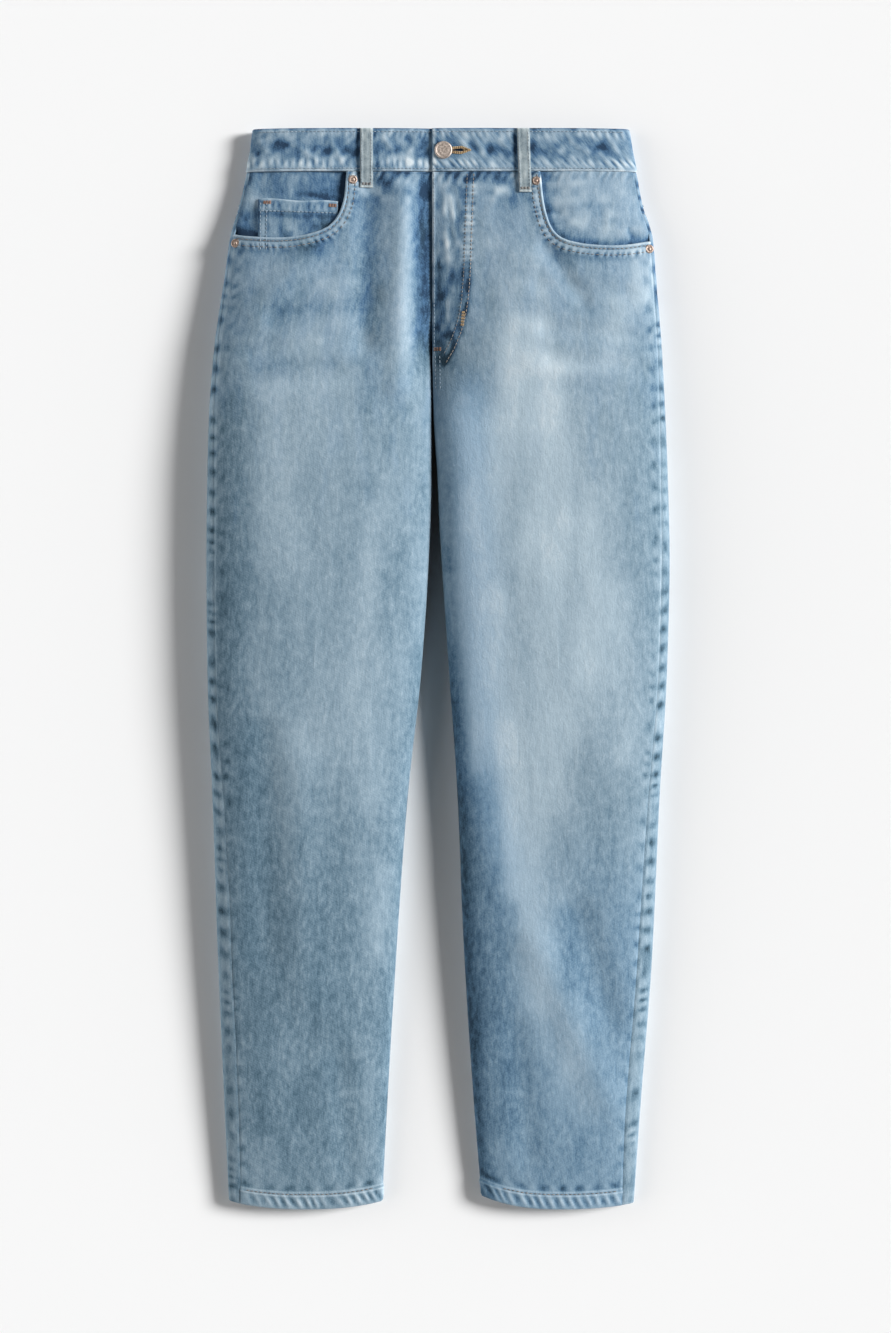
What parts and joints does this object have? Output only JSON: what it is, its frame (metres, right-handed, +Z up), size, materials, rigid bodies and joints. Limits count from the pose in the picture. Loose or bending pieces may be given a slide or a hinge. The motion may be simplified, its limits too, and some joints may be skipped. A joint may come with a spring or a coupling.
{
  "type": "mom jeans",
  "caption": "High-waisted denim trousers with a full hip, tapered ankle-length legs and a fly front closed by a button over a zip, laid flat face up.",
  "frame": {"origin": "on the surface that the garment lies on, under the middle of its outline", "axes": "+Y from the hems to the waist, +Z up out of the front, +X to the wearer's left leg"},
  "size_m": [0.4287, 1.0001, 0.043],
  "materials": {
    "denim": "light blue washed cotton twill",
    "denim_dark": "less washed cotton twill",
    "tape": "woven tape",
    "button_metal": "satin, antiqued",
    "rivet_metal": "satin copper tone"
  },
  "bodies": {
    "root": {"front_leg_right": "denim", "front_leg_left": "denim", "back_leg_right": "denim", "back_leg_left": "denim", "yoke_right": "denim", "yoke_left": "denim", "waistband": "denim", "back_pocket_right": "denim", "back_pocket_left": "denim", "belt_loop_front_right": "denim", "belt_loop_front_left": "denim", "belt_loop_back_right": "denim", "belt_loop_centre_back": "denim", "belt_loop_back_left": "denim", "pocket_facing_right": "denim_dark", "pocket_facing_left": "denim_dark", "coin_pocket": "denim_dark", "fly_shield": "denim_dark", "zip_tape": "tape", "button": "button_metal", "rivet_right_top": "rivet_metal", "rivet_right_side": "rivet_metal", "rivet_left_top": "rivet_metal", "rivet_left_side": "rivet_metal"}
  },
  "joints": []
}
